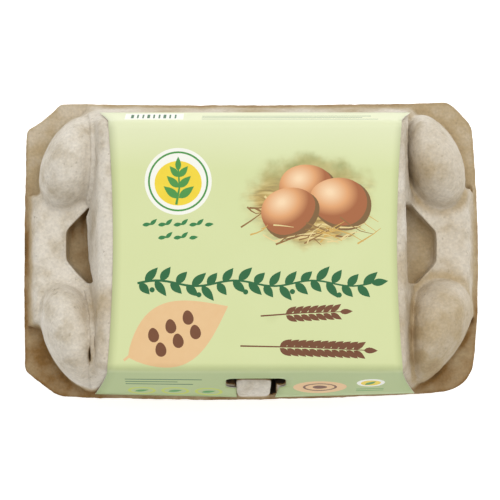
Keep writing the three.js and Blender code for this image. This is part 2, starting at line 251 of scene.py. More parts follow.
def rim_outline(at):
    outline = -np.inf
    for i, (x, y, along_x, along_y, _, _) in enumerate(RIM_CORNERS):
        next_x, next_y, next_along_x, next_along_y = RIM_CORNERS[(i + 1) % 4][:4]
        over, across = (at.y, at.x) if i % 2 == 0 else (at.x, at.y)
        here, there = (x, y, along_x), (next_x, next_y, next_along_x)
        if i % 2:
            here, there = (y, x, along_y), (next_y, next_x, next_along_y)
        ends = [place - math.copysign(cut, place) for place, _, cut in (here, there)]
        bend = np.polyfit((ends[0], sum(ends) / 2, ends[1]), (here[1], RIM_MIDDLES[i], there[1]), 2)
        outline = np.maximum(outline, (over - np.polyval(bend, across)) * math.copysign(1, RIM_MIDDLES[i]))
    for x, y, along_x, along_y, out, radius in RIM_CORNERS:
        span = math.hypot(along_x, along_y)
        in_x = (at.x - x) * math.copysign(1, x) + along_x / 2
        in_y = (at.y - y) * math.copysign(1, y) + along_y / 2
        t = (in_x * along_x - in_y * along_y) / span / (span / 2)
        bevel = (in_x * along_y + in_y * along_x) / span
        outline = round_max(outline, bevel - out * np.maximum(1 - t**2, 0), radius)
    return outline


def slab(at, outline, low, high, radius):
    return round_max(outline, np.abs(at.z - (low + high) / 2) - (high - low) / 2, radius)


def flange(at):
    outline = rim_outline(at)
    slot = slab(at, -outline - RIM["gap_depth"], RIM["gap_bottom"], RIM["gap_top"], 0.2)
    fold = np.maximum(np.abs(at.x) - HINGE_HALF, HINGE_Y - at.y)
    return slab(at, outline, RIM["bottom"], RIM["top"], RIM["edge"]), np.maximum(slot, -fold)


# How far the platform's front wall draws back, more towards its ends and lower down
def front_bow(x, drop):
    return FRONT_BOW["back"] * (x / FRONT_BOW["x"]) ** 2 * drop / FRONT_BOW["drop"]


# The platform is the lid's flat middle, with its four sloping walls
def platform(at):
    drop = HEIGHT - at.z
    end, side = tangent(PLATFORM["end_draft"]), tangent(PLATFORM["side_draft"])
    ends = (np.abs(at.x) - PLATFORM["half_x"] - drop * end) / math.hypot(1, end)
    bow = np.where(at.y < 0, front_bow(at.x, np.maximum(drop, 0)), 0)
    sides = (np.abs(at.y) - PLATFORM["half_y"] - drop * side + bow) / math.hypot(1, side)
    walls = round_max(ends, sides, PLATFORM["corner"])
    return np.maximum(round_max(walls, at.z - HEIGHT, PLATFORM["edge"]), RIM["bottom"] - at.z)


# A dome's size over its true size on the way to each point: one is its surface
def dome_reach(at, dome):
    lean = math.radians(DOME_LEAN) * dome.side * np.sign(dome.y)
    dx, dy = at.x - dome.side * dome.x, at.y - dome.y
    across = (dx * math.cos(lean) + dy * math.sin(lean)) / dome.half_short
    along = (dy * math.cos(lean) - dx * math.sin(lean)) / dome.half_long
    across = across / (1 - dome.slim * np.clip(along * np.sign(dome.y), -1, 1))
    rise = np.abs(at.z - DOME_Z) / DOME_RADIUS_Z
    power = DOME_FULLNESS
    return ((across**2 + along**2) ** (power / 2) + rise**power) ** (1 / power)


# The low shelf between the two domes of an end
def shelf(at, side):
    climb = (at.z - RIM["top"]) / (SHELF["top"] - RIM["top"])
    outer = side * at.x - SHELF["foot_x"] + climb * (SHELF["foot_x"] - SHELF["crown_x"])
    ends = np.abs(at.y - SHELF_Y[side]) - SHELF["half_y"] + SHELF["end_draw"] * climb
    walls = round_max(outer * SHELF["wall_cos"], ends, SHELF["corner"])
    top = round_max(at.z - SHELF["top"], SHELF["inner_x"] - side * at.x, 0.5)
    return round_max(walls, top, SHELF["edge"])


# A well's plan, and the whole well with its sloping outer wall and its floor
def well(at, side):
    t = np.minimum((at.z - WELL["floor_z"]) / (WELL["mouth_z"] - WELL["floor_z"]), 1.2)
    outer_x, outer_half = (low + (high - low) * t for low, high in (WELL["outer"], WELL["outer_half"]))
    spread = outer_half + (outer_x - side * at.x) * WELL["flare"]
    flank = (np.abs(at.y - WELL_Y[side]) - spread) / math.hypot(1, WELL["flare"])
    ends = np.maximum(WELL["front"] - at.y, at.y - WELL["back"])
    inner_x = np.interp(at.y, *WELL_INNER[side])
    outer_walls = round_max(side * at.x - outer_x, flank, WELL["outer_corner"])
    inner_walls = round_max(ends, inner_x - side * at.x, WELL["inner_corner"])
    plan = round_max(outer_walls, inner_walls, WELL["flank_corner"])
    floor_z = WELL["floor_z"] + WELL["rise_out"] * (side * at.x - WELL["floor_x"])
    floor_z = floor_z + WELL["rise_front"] * (WELL["back"] - at.y)
    return plan, round_max(plan, floor_z - at.z, WELL["floor_corner"])


# The pulp stands up a little round a well's mouth
def well_lip(at, plan):
    lip = round_max(plan - WELL_LIP["width"], at.z - SHELF["top"] - WELL_LIP["rise"], WELL_LIP["edge"])
    return np.maximum(lip, WELL_LIP["foot"] - at.z)


# The two hollow posts between the cups, open below, that keep the lid up
def posts(at):
    taper = (POST["mouth"] - POST["tip"]) / (POST["tip_z"] - BAND["bottom"])
    reach = POST["tip"] + (POST["tip_z"] - at.z) * taper
    cones = [np.hypot(at.x - side * EGG_PITCH_X, at.y) - reach for side in (-0.5, 0.5)]
    return round_max(np.minimum(*cones), at.z - POST["tip_z"], POST["tip_edge"])


# How far a place is behind the platform's front wall
def behind_front(at):
    return at.y + (PLATFORM["half_y"] + (HEIGHT - at.z) * tangent(PLATFORM["side_draft"]))


def latch_hole(at):
    def plate(half, low, high, radius):
        wide = np.abs(at.x - LATCH["x"]) - half + radius
        tall = np.abs(at.z - (low + high) / 2) - (high - low) / 2 + radius
        inside = np.minimum(np.maximum(wide, tall), 0)
        return np.hypot(np.maximum(wide, 0), np.maximum(tall, 0)) + inside - radius

    head = plate(LATCH["head_half"], *LATCH["head"], LATCH["head_corner"])
    stem = plate(LATCH["stem_half"], *LATCH["stem"], LATCH["stem_corner"])
    return np.maximum(round_min(head, stem, LATCH["stem_corner"]), behind_front(at) - LATCH["depth"])


def tongue(at):
    half = np.interp(at.z, TONGUE_Z, TONGUE_HALF)
    front = np.interp(at.z, TONGUE_Z, TONGUE_FRONT)
    body = round_max(np.abs(at.x - TONGUE_X) - half, -at.y - front, TONGUE_EDGE)
    ends = np.maximum(at.z - TONGUE_Z[-1], RIM["top"] - 1 - at.z)
    return round_max(round_max(body, at.y + TONGUE_BACK, 0.5), ends, TONGUE_EDGE)


# How far a place is from a pit's wall, roughly
def from_pit(at, pit):
    across, along = (at.x - pit.x) / pit.half_x, (at.y - pit.y) / pit.half_y
    reach = np.sqrt(across**2 + along**2 + ((at.z - pit.z) / pit.half_z) ** 2)
    return (reach - 1) * min(pit.half_x, pit.half_y, pit.half_z)


# The lid with a groove pressed into it round the foot of a dome, and then the dome
def with_groove(lid, egg, dome, at):
    groove = round_max(egg - dome.width, dome.low - at.z, 1.0)
    lid = round_min(round_max(lid, -groove, 1.2), lid + dome.depth, 0.5)
    return round_min(lid, egg, dome.fillet)


# The lid with a dome that runs into it, and a low ridge along the dome's foot
def with_ridge(lid, walls, egg, dome, at):
    lid = np.minimum(round_min(lid, egg, dome.fillet), round_min(walls, egg, dome.valley))
    ridge = round_max(np.abs(egg - dome.fillet) - dome.width, dome.low - at.z, 0.4)
    return round_min(lid, round_max(ridge, lid + dome.depth, 0.3), 0.3)


def lid_field(at):
    rim, slot = flange(at)
    lid = round_min(round_min(shelf(at, -1), shelf(at, 1), 0.1), rim, FILLET["wall"])
    wells = [well(at, side) for side in (-1, 1)]
    for plan, _ in wells:
        lid = round_min(lid, well_lip(at, plan), FILLET["lip"])
    walls = round_max(platform(at), rim_outline(at) + RIM["inset"], 1.0)
    lid = round_min(lid, walls, FILLET["wall"])
    for dome in DOMES:
        egg = as_distance(dome_reach(at, dome) - 1, at.pitch)
        lid = with_groove(lid, egg, dome, at) if dome.depth > 0 else with_ridge(lid, walls, egg, dome, at)
    for _, whole in wells:
        lid = round_max(lid, -whole, FILLET["well"])
    for pit in PITS:
        lid = round_max(lid, -from_pit(at, pit), FILLET["pit"])
    lid = round_max(lid, -slot, FILLET["crisp"])
    lid = round_max(lid, -posts(at), FILLET["well"])
    lid = round_max(lid, -latch_hole(at), FILLET["hole"])
    lid = round_min(lid, tongue(at), FILLET["tongue"])
    return np.maximum(lid, PARTING - at.z)


def cup(at, x, y):
    t = np.clip(at.z / CUP["rim_z"], 0, 1)
    spread = 1 - (1 - t) ** CUP["fullness"]
    power = 2 + (CUP["squareness"] - 2) * t
    half_x = CUP["foot"] + (CUP["rim_x"] - CUP["foot"]) * spread
    half_y = CUP["foot"] + (CUP["rim_y"] - CUP["foot"]) * spread
    reach = (np.abs((at.x - x) / half_x) ** power + np.abs((at.y - y) / half_y) ** power) ** (1 / power)
    wall = round_max(as_distance(reach - 1, at.pitch), at.z - RIM["bottom"], 0.5)
    wall = round_max(wall, CUP["foot_z"] - at.z, CUP["foot_edge"])
    sole = round_max(np.hypot(at.x - x, at.y - y) - SOLE["radius"], at.z - SOLE["depth"], SOLE["edge"])
    return round_max(wall, -sole, 0.5)


# The band under the rim that ties the six cups
def band(at):
    drawn_in = (RIM["bottom"] - at.z) * tangent(BAND["draft"])
    corner = BAND["corner"]
    over_x = np.maximum(np.abs(at.x) - BAND["half_x"] + drawn_in + corner, 0)
    over_y = np.maximum(np.abs(at.y) - BAND["half_y"] + drawn_in + corner, 0)
    return slab(at, np.hypot(over_x, over_y) - corner, BAND["bottom"], RIM["bottom"] + 1, BAND["edge"])


def base_field(at):
    base = band(at)
    for column in (-1, 0, 1):
        for row in (-0.5, 0.5):
            base = round_min(base, cup(at, column * EGG_PITCH_X, row * EGG_PITCH_Y), FILLET["cups"])
    rim, slot = flange(at)
    base = round_min(base, rim, FILLET["band"])
    base = round_max(base, -slot, FILLET["crisp"])
    base = round_max(base, -posts(at), FILLET["post"])
    return np.maximum(base, at.z - PARTING)


# The closed surface where a field is zero. Its cut at the parting plane is hidden, so it is one flat fill,
# which faces up or down.
def skin(name, field, at, cut_up):
    reach = 3 * at.pitch
    volume = openvdb.FloatGrid(reach)
    volume.copyFromArray(np.clip(field, -reach, reach).astype(np.float64))
    points, quads = volume.convertToQuads(0.0)
    points = points * at.pitch + np.array(at.corner)
    flat = np.abs(points[:, 2] - PARTING) < PARTING_SLACK
    quads = quads[~flat[quads].all(axis=1)]
    mesh = bpy.data.meshes.new(name)
    mesh.from_pydata((points * MM).tolist(), [], quads.tolist())
    work = bmesh.new()
    work.from_mesh(mesh)
    bmesh.ops.delete(work, geom=[v for v in work.verts if not v.link_faces], context="VERTS")
    edges = [e for e in work.edges if e.is_boundary]
    bmesh.ops.triangle_fill(work, use_beauty=True, edges=edges, normal=(0, 0, cut_up))
    bmesh.ops.recalc_face_normals(work, faces=work.faces)
    work.to_mesh(mesh)
    work.free()
    return mesh


# Low relief of pulp dried on its mould: soft lumps and a finer grain, pushed out of the surface
RELIEF = {"Lump height": 0.3, "Lump size": 12.0, "Dent height": 0.2, "Dent size": 4.0,
          "Grain height": 0.12, "Grain size": 1.7}


def relief_tree():
    tree = bpy.data.node_groups.new("pulp_relief", "GeometryNodeTree")
    tree.interface.new_socket("Geometry", in_out="INPUT", socket_type="NodeSocketGeometry")
    tree.interface.new_socket("Geometry", in_out="OUTPUT", socket_type="NodeSocketGeometry")
    for name in RELIEF:
        tree.interface.new_socket(name, in_out="INPUT", socket_type="NodeSocketFloat")
    tree.interface.new_socket("Material", in_out="INPUT", socket_type="NodeSocketMaterial")
    given = add_node(tree, "NodeGroupInput")
    place = add_node(tree, "GeometryNodeInputPosition")
    push = 0.0
    for kind in ("Lump", "Dent", "Grain"):
        size, height = given.outputs[kind + " size"], given.outputs[kind + " height"]
        scale = add_node(tree, "ShaderNodeMath", {0: 1.0, 1: size}, operation="DIVIDE")
        noise = add_node(tree, "ShaderNodeTexNoise", {"Vector": place, "Scale": scale, "Detail": 2.0})
        level = add_node(tree, "ShaderNodeMath", {0: noise, 1: 2.0, 2: -1.0}, operation="MULTIPLY_ADD")
        push = add_node(tree, "ShaderNodeMath", {0: level, 1: height, 2: push}, operation="MULTIPLY_ADD")
    normal = add_node(tree, "GeometryNodeInputNormal")
    offset = add_node(tree, "ShaderNodeVectorMath", {0: normal, "Scale": push}, operation="SCALE")
    moved = add_node(tree, "GeometryNodeSetPosition",
                     {"Geometry": given.outputs["Geometry"], "Offset": offset})
    realized = add_node(tree, "GeometryNodeRealizeInstances", {"Geometry": moved})
    finish = add_node(tree, "GeometryNodeSetMaterial",
                      {"Geometry": realized, "Material": given.outputs["Material"]})
    add_node(tree, "NodeGroupOutput", {"Geometry": finish})
    return tree


# How tan and how shaded each point is, partly the pulp's own tan and partly painted shade. The rims and the
# wells are the deepest. Above one it turns to the near black of the latch hole and the pits, which is painted
# shade. On the rim it is given at eight places, is deeper at the very edge, and fades below and above.
# The rim's level at eight places, partly its tan and partly painted shade, deepest at the front corners where
# the domes' shadows fall
RIM_TAN_AND_SHADE = {(-1, -1): 0.9, (0, -1): 0.68, (1, -1): 0.76, (-1, 0): 0.92, (1, 0): 0.56, (-1, 1): 0.28,
           (0, 1): 0.66, (1, 1): 0.48}
RIM_TAN_AND_SHADE_X, RIM_TAN_AND_SHADE_Y = 70, 44
RIM_TAN_AND_SHADE_FADE = ((0, 30, 38, 42, 45, 49.3), (0.2, 0.3, 1, 1, 0.6, 0))
# A line of painted shade along the rim's very edge
RIM_EDGE_SHADE, RIM_EDGE_WIDTH = 0.2, 1.2
# Each well's tan and painted shade: at its front end and at its back end, in faint streaks
WELL_TAN_AND_SHADE = {-1: (0.42, 0.98), 1: (0.0, 0.32)}
WELL_TAN_AND_SHADE_EDGE, STREAK = 0.6, 0.18
# Painted shade in the crease round each dome's foot: on the lid and on the rim
CREASE_SHADE = ((0.0, 0.12), (0.22, 0.25), (0.0, 0.0), (0.26, 0.1))
CREASE_WIDTH = 0.9
# Painted near-black shade inside the latch hole
HOLE_SHADE = 1.6
# Round patches on the lid, partly tan and partly painted shade on flanks and walls away from the light:
# middle, radius and level
TAN_AND_SHADE_PATCHES = [
    (62, -27, 22, 0.46), (59, -41, 10, 0.6), (63, 27, 18, 0.24), (66, 0, 16, 0.16), (53.2, -20, 5, 0.5),
    (53.6, -28, 5.5, 0.55), (54.8, -36, 5, 0.6), (56, 25, 7, 0.42), (54.5, 16, 4, 0.3), (50, -8, 10, 0.4),
    (-52, -38, 7, 0.16), (-48.8, -20, 8, 0.42), (-48.8, -33, 6, 0.25),
    (-28, 46.5, 15, 0.35), (2, 46.5, 15, 0.35), (32, 46.5, 14, 0.35),
]


def rim_tan_and_shade(at):
    level = 0
    for (column, row), value in RIM_TAN_AND_SHADE.items():
        near_x = np.clip(1 - np.abs(at.x / RIM_TAN_AND_SHADE_X - column), 0, 1)
        near_y = np.clip(1 - np.abs(at.y / RIM_TAN_AND_SHADE_Y - row), 0, 1)
        level = level + value * (near_x * near_y)
    # Painted shade under the rim's edge
    level = level + RIM_EDGE_SHADE * np.clip(1 + rim_outline(at) / RIM_EDGE_WIDTH, 0, 1)
    return level * np.interp(at.z, *RIM_TAN_AND_SHADE_FADE)


def well_tan_and_shade(at, side):
    plan, _ = well(at, side)
    in_plan = np.clip((WELL_TAN_AND_SHADE_EDGE - plan) / WELL_TAN_AND_SHADE_EDGE, 0, 1)
    below_mouth = np.clip((WELL["mouth_z"] - 0.2 - at.z) / WELL_TAN_AND_SHADE_EDGE, 0, 1)
    along = np.interp(at.y, (WELL["front"], WELL["back"]), WELL_TAN_AND_SHADE[side])
    streaks = 1 - STREAK + STREAK * np.sin(at.x * 1.9 + 1.4 * np.sin(at.y / 4))
    return in_plan * below_mouth * along * streaks


def crease_shade(at, dome, on_lid, on_rim):
    off = (dome_reach(at, dome) - 1) * dome.half_short
    near = np.clip((off - 0.05) / 0.2, 0, 1) * np.exp(-((np.maximum(off - 0.8, 0) / CREASE_WIDTH) ** 2))
    return near * np.interp(at.z, (40, 41, 43, 46, 49), (0, on_rim, on_rim, 0, on_lid))


# Stores each point's tan and painted shade as the "tan" attribute
def store_tan_and_shade(mesh):
    places = np.empty(len(mesh.vertices) * 3)
    mesh.vertices.foreach_get("co", places)
    x, y, z = places.reshape(-1, 3).T / MM
    at = Points(x, y, z, None, None)
    above_parting = np.clip(z - PARTING, 0, 1)
    level = rim_tan_and_shade(at)
    for side in (-1, 1):
        level = np.maximum(level, well_tan_and_shade(at, side) * above_parting)
    for patch_x, patch_y, radius, value in TAN_AND_SHADE_PATCHES:
        away = ((x - patch_x) ** 2 + (y - patch_y) ** 2) / radius**2
        level = np.maximum(level, value * np.exp(-1.4 * away) * above_parting)
    for dome, values in zip(DOMES, CREASE_SHADE):
        level = level + crease_shade(at, dome, *values)
    for pit in PITS:
        # Painted shade inside each pit
        level = np.maximum(level, pit.tan * np.clip(1 - from_pit(at, pit) / 0.8, 0, 1))
    # Painted shade on the latch hole's inside walls
    in_hole = np.clip((behind_front(at) + 0.4) / 0.6, 0, 1) * np.clip((0.4 - latch_hole(at)) / 0.3, 0, 1)
    level = np.maximum(level, HOLE_SHADE * in_hole)
    mesh.attributes.new("tan", "FLOAT", "POINT").data.foreach_set("value", level.astype(np.float32))


# The result of a Geometry Nodes tree with these inputs, as a plain mesh object
def grown(name, start, tree, values):
    source = placed(name + "_start", start)
    modifier = source.modifiers.new("nodes", "NODES")
    modifier.node_group = tree
    ids = {item.name: item.identifier for item in tree.interface.items_tree if item.in_out == "INPUT"}
    for key, value in values.items():
        modifier[ids[key]] = value
    evaluated = source.evaluated_get(bpy.context.evaluated_depsgraph_get())
    mesh = bpy.data.meshes.new_from_object(evaluated)
    mesh.name = name
    bpy.data.objects.remove(source)
    mesh.polygons.foreach_set("use_smooth", [True] * len(mesh.polygons))
    return placed(name, mesh)


# A colour ramp's first, last and middle stop, each a place and a shade
def set_stops(ramp, first, last, middle):
    stops = ramp.color_ramp.elements
    stops[0].position, stops[0].color = first[0], linear(first[1])
    stops[1].position, stops[1].color = last[0], linear(last[1])
    stops.new(middle[0]).color = linear(middle[1])


# Moulded pulp: recycled paper, dull, mottled grey and tan where the fibres settled unevenly, with specks of
# old print. The low rims, the wells, the creases and some flanks are a deeper tan, partly the pulp's own tone
# and partly painted shade, and the latch hole and the pits turn to a painted near-black shade.
pulp = empty_material("moulded_pulp")
tree = pulp.node_tree
where = add_node(tree, "ShaderNodeTexCoord").outputs["Object"]
cloud = add_node(tree, "ShaderNodeTexNoise",
                 {"Vector": where, "Scale": 1 / (9 * MM), "Detail": 5.0, "Roughness": 0.6})
tone = add_node(tree, "ShaderNodeValToRGB", {"Fac": cloud})
set_stops(tone, (0.32, "#c7bba6"), (0.66, "#e7e0d4"), (0.5, "#dfd7c9"))
ragged = add_node(tree, "ShaderNodeMapRange",
                  {"Value": cloud, "From Min": 0.35, "From Max": 0.65, "To Min": 1.2, "To Max": 0.8})
# The "tan" attribute carries the pulp's own tan and painted shade together
tan = add_node(tree, "ShaderNodeAttribute", attribute_name="tan").outputs["Fac"]
tan = add_node(tree, "ShaderNodeMath", {0: tan, 1: ragged}, operation="MULTIPLY")
# Deeper tan, then painted shade: the last stop, near black, is painted shade in the latch hole
stained_and_shaded = tone
for start, shade in ((0.0, "#b9a583"), (0.5, "#8a683c"), (1.0, "#2b2118")):
    share = add_node(tree, "ShaderNodeMapRange", {"Value": tan, "From Min": start, "From Max": start + 0.5})
    stained_and_shaded = add_node(tree, "ShaderNodeMix", {0: share, 6: stained_and_shaded, 7: linear(shade)}, data_type="RGBA")
    stained_and_shaded = stained_and_shaded.outputs[2]
speckle = add_node(tree, "ShaderNodeTexNoise", {"Vector": where, "Scale": 1 / (1.6 * MM), "Detail": 4.0})
speck_mask = add_node(tree, "ShaderNodeMapRange",
                      {"Value": speckle, "From Min": 0.64, "From Max": 0.78, "To Max": 0.6})
speckled = add_node(tree, "ShaderNodeMix",
                    {0: speck_mask, 6: stained_and_shaded, 7: linear("#8f8068")}, data_type="RGBA")
fibre = add_node(tree, "ShaderNodeTexNoise", {"Vector": where, "Scale": 1 / (0.9 * MM), "Detail": 4.0})
fibre_tone = add_node(tree, "ShaderNodeMapRange",
                      {"Value": fibre, "From Min": 0.3, "From Max": 0.7, "To Min": 0.87, "To Max": 1.06})
paint = add_node(tree, "ShaderNodeVectorMath",
                 {0: speckled.outputs[2], "Scale": fibre_tone}, operation="SCALE")
grain = add_node(tree, "ShaderNodeTexNoise",
                 {"Vector": where, "Scale": 1 / (0.8 * MM), "Detail": 5.0, "Roughness": 0.65})
bump = add_node(tree, "ShaderNodeBump", {"Height": grain, "Strength": 0.5, "Distance": 0.3 * MM})
shader = add_node(tree, "ShaderNodeBsdfPrincipled",
                  {"Base Color": paint, "Roughness": 0.95, "IOR": 1.5, "Specular IOR Level": 0.2,
                   "Normal": bump})
add_node(tree, "ShaderNodeOutputMaterial", {"Surface": shader})

relief = relief_tree()
relief_values = {key: value * MM for key, value in RELIEF.items()}
relief_values["Material"] = pulp
halves = (("pulp_lid", LID_GRID, lid_field, -1), ("pulp_base", BASE_GRID, base_field, 1))
carton_pieces = []
for name, grid, field, cut_up in halves:
    at = grid_points(**grid)
    start = skin(name + "_start", field(at), at, cut_up)
    store_tan_and_shade(start)
    piece = grown(name, start, relief, relief_values)
    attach(piece, "root")
    carton_pieces.append(piece)
for piece in carton_pieces:
    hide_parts("carton")

# Paper label: one thin printed sheet, glued flat over the lid's middle and folded down in front and behind.
# Its ends are waisted on top and flare on the flaps, and the front flap is cut out round the latch.
# A place on it is x, and v along the sheet from the middle of the top, positive towards the back.
LABEL = {"off": 0.6, "thick": 0.15, "shift_x": 1.2, "front_z": 42.4, "back_z": 56.0, "fold": 2.4,
         "waist": 45.6, "fold_half": 47.3, "front_half": 52.9, "back_half": 51.0, "flare_power": 1.4}
# Round the latch hole: its play, the round of its corners, and how far its stem reaches on each side
CUT_OUT = {"play": 0.2, "corner": 2.4, "stem_left": 6.3, "stem_right": 6.4, "stem_right_top": 7.6}
# The paper's waves, how far each flap's edge stands off, and where on the sheet it begins to lift
LIFT = {"wave": 0.05, "front": 0.35, "front_from": -48, "back": 0.2, "back_from": 46}
# The steps of the sheet's mesh: along its flat stretches, round its folds and corners, and across it
SHEET_STEP, ROUND_STEPS, ACROSS_STEPS = 3.0, 8, 30

draft = math.radians(PLATFORM["side_draft"])
fold_radius = LABEL["fold"] + LABEL["off"]
label_top = HEIGHT + LABEL["off"]
fold_edge = PLATFORM["half_y"] - LABEL["off"] * math.tan(draft) + LABEL["off"] / math.cos(draft)
flat_half = fold_edge - fold_radius * math.tan((math.pi / 2 - draft) / 2)
arc_length = fold_radius * (math.pi / 2 - draft)
wall_top = label_top - fold_radius * (1 - math.sin(draft))


def v_on_flap(z):
    return flat_half + arc_length + (wall_top - z) / math.cos(draft)


v_front, v_back = -v_on_flap(LABEL["front_z"]), v_on_flap(LABEL["back_z"])


# The sheet's outer side at v: y, z, and its outward direction in y and z
def along_sheet(v):
    way, past = math.copysign(1, v), abs(v) - flat_half
    if past <= 0:
        return v, label_top, 0.0, 1.0
    angle = math.pi / 2 - min(past, arc_length) / fold_radius
    y = flat_half + fold_radius * math.cos(angle)
    z = label_top - fold_radius + fold_radius * math.sin(angle)
    down = max(0, past - arc_length)
    y += down * math.sin(draft)
    z -= down * math.cos(draft)
    return way * y, z, way * math.cos(angle), math.sin(angle)


def half_width(v):
    y, z, _, _ = along_sheet(v)
    spread = min(1, abs(y) / PLATFORM["half_y"]) ** 2
    waist = LABEL["waist"] + (LABEL["fold_half"] - LABEL["waist"]) * spread
    flap = "front" if v < 0 else "back"
    down = max(0, HEIGHT - z) / (HEIGHT - LABEL[flap + "_z"])
    return waist + (LABEL[flap + "_half"] - LABEL["fold_half"]) * down ** LABEL["flare_power"]


# How far the paper stands off its true place: faint waves, and flaps that lift towards their free edges
def lift(x, v):
    wave = math.sin(x / 9 + v / 14) + math.sin(x / 5.3 - v / 8 + 1.7)
    front = max(0, (v - LIFT["front_from"]) / (v_front - LIFT["front_from"])) ** 2
    back = max(0, (v - LIFT["back_from"]) / (v_back - LIFT["back_from"])) ** 2
    uneven = 0.6 + 0.4 * math.sin(x / 13)
    return LIFT["wave"] * wave + LIFT["front"] * front * uneven + LIFT["back"] * back


def place_on_label(x, v, depth):
    y, z, out_y, out_z = along_sheet(v)
    off = lift(x, v) - depth
    bow = front_bow(x, max(0, HEIGHT - z)) if v < 0 else 0
    return x * MM, (y + bow + out_y * off) * MM, (z + out_z * off) * MM


def arc_points(centre, radius, start, end):
    turns = [math.radians(start + (end - start) * i / ROUND_STEPS) for i in range(ROUND_STEPS + 1)]
    return [(centre[0] + radius * math.cos(a), centre[1] + radius * math.sin(a)) for a in turns]


def cut_out():
    corner, bottom = CUT_OUT["corner"], LABEL["front_z"]
    low, high = LATCH["head"][0] - CUT_OUT["play"], LATCH["head"][1] + CUT_OUT["play"]
    inset = LATCH["head_half"] + CUT_OUT["play"] - corner
    whole = [(-CUT_OUT["stem_left"], bottom), (-CUT_OUT["stem_left"], low)]
    rounds = ((-inset, low + corner, 270), (-inset, high - corner, 180),
              (inset, high - corner, 90), (inset, low + corner, 0))
    for x, z, turn in rounds:
        whole += arc_points((x, z), corner, turn, turn - 90)
    whole += [(CUT_OUT["stem_right_top"], low), (CUT_OUT["stem_right"], bottom)]
    return [(x + LATCH["x"], -v_on_flap(z)) for x, z in whole]


# Where the mesh has a row of points across the sheet
def sheet_levels():
    levels = list(np.arange(-flat_half, flat_half, SHEET_STEP))
    for way, end in ((-1, v_front), (1, v_back)):
        levels += [way * (flat_half + arc_length * i / ROUND_STEPS) for i in range(ROUND_STEPS + 1)]
        flap = abs(end) - flat_half - arc_length
        count = round(flap / SHEET_STEP)
        levels += [way * (flat_half + arc_length + flap * (i + 1) / count) for i in range(count)]
    return sorted(set(round(float(v), 4) for v in levels))


def sheet_outline():
    levels = sheet_levels()
    right = [(LABEL["shift_x"] + half_width(v), v) for v in levels]
    left = [(LABEL["shift_x"] - half_width(v), v) for v in reversed(levels)]
    return right + left + cut_out()


# The print: plain motifs, each an ink, an outline, and the middle, size and turn that its shading follows
prints = []


def stamp(ink, outline, middle=(0, 0), size=(1, 1), turn=0.0):
    ahead = outline[1:] + outline[:1]
    area = sum(a[0] * b[1] - b[0] * a[1] for a, b in zip(outline, ahead))
    prints.append((ink, outline if area > 0 else outline[::-1], middle, size, turn))


def turned(points, middle, turn):
    c, s = math.cos(math.radians(turn)), math.sin(math.radians(turn))
    return [(middle[0] + x * c - y * s, middle[1] + x * s + y * c) for x, y in points]


def oval(ink, middle, size, turn=0.0, steps=28, egg=0.0):
    ring = []
    for i in range(steps):
        a = 2 * math.pi * i / steps
        ring.append((size[0] * math.cos(a), size[1] * math.sin(a) * (1 - egg * math.cos(a))))
    stamp(ink, turned(ring, middle, turn), middle, size, turn)


def leaf(ink, foot, length, width, turn, steps=7, point=0.8):
    upper = []
    for i in range(steps + 1):
        t = i / steps
        upper.append((length * t, width / 2 * math.sin(math.pi * t**point)))
    ring = upper + [(x, -y) for x, y in reversed(upper[1:-1])]
    middle = turned([(length / 2, 0)], foot, turn)[0]
    stamp(ink, turned(ring, foot, turn), middle, (length / 2, width / 2), turn)


def stroke(ink, points, width, end_width=None):
    end_width = width if end_width is None else end_width
    left, right = [], []
    for i, (x, y) in enumerate(points):
        a, b = points[max(i - 1, 0)], points[min(i + 1, len(points) - 1)]
        run = math.hypot(b[0] - a[0], b[1] - a[1])
        nx, ny = -(b[1] - a[1]) / run, (b[0] - a[0]) / run
        half = (width + (end_width - width) * i / (len(points) - 1)) / 2
        left.append((x + nx * half, y + ny * half))
        right.append((x - nx * half, y - ny * half))
    stamp(ink, left + right[::-1])


def wheat_ear(ink, foot, length, turn, grain, pairs):
    tip = turned([(length, 0)], foot, turn)[0]
    stroke(ink, [foot, turned([(length / 2, 0.3)], foot, turn)[0], tip], 0.5, 0.25)
    for i in range(pairs):
        at_stem = turned([(length * (0.3 + 0.62 * i / pairs), 0)], foot, turn)[0]
        for way in (-1, 1):
            leaf(ink, turned([(0, 0.25 * way)], at_stem, turn)[0], grain, grain * 0.42, turn + way * 32, 5)
    leaf(ink, turned([(length * 0.94, 0)], foot, turn)[0], grain, grain * 0.42, turn, 5)


# Picture of eggs in straw, top right, over the warm field that the ground ink paints there
draw = random.Random(12)
PICTURE = {"middle": (19.0, 14.5), "half": (23.5, 17.5), "straw_half": 19}
EGGS = [((17.5, 19.0), (8.6, 7.0), 15), ((28.0, 14.2), (9.3, 7.6), 168), ((12.0, 11.2), (9.0, 7.3), 25)]
EGG_POINT = 0.12
STRAW_INKS = ("straw_gold", "straw_brown", "straw_pale")


def straw(count, low, high):
    middle_x, reach = PICTURE["middle"][0], PICTURE["straw_half"]
    for _ in range(count):
        x = draw.uniform(middle_x - reach, middle_x + reach)
        v = draw.uniform(low, high)
        turn = draw.gauss(0, 28)
        length = draw.uniform(5, 13)
        bend = draw.uniform(-1.2, 1.2)
        stalk = [(-length / 2, 0), (-length / 6, bend * 0.8), (length / 6, bend), (length / 2, 0.2)]
        stroke(draw.choice(STRAW_INKS), turned(stalk, (x, v), turn), draw.uniform(0.35, 0.7), 0.15)


straw(46, 1.5, 13.0)
for (x, v), (half_long, half_short), turn in EGGS:
    oval("egg_shade", (x + 1.0, v - 1.1), (half_long * 1.04, half_short * 1.06), turn, 36, EGG_POINT)
    oval("egg_shell", (x, v), (half_long, half_short), turn, 36, EGG_POINT)
straw(22, 1.0, 6.5)

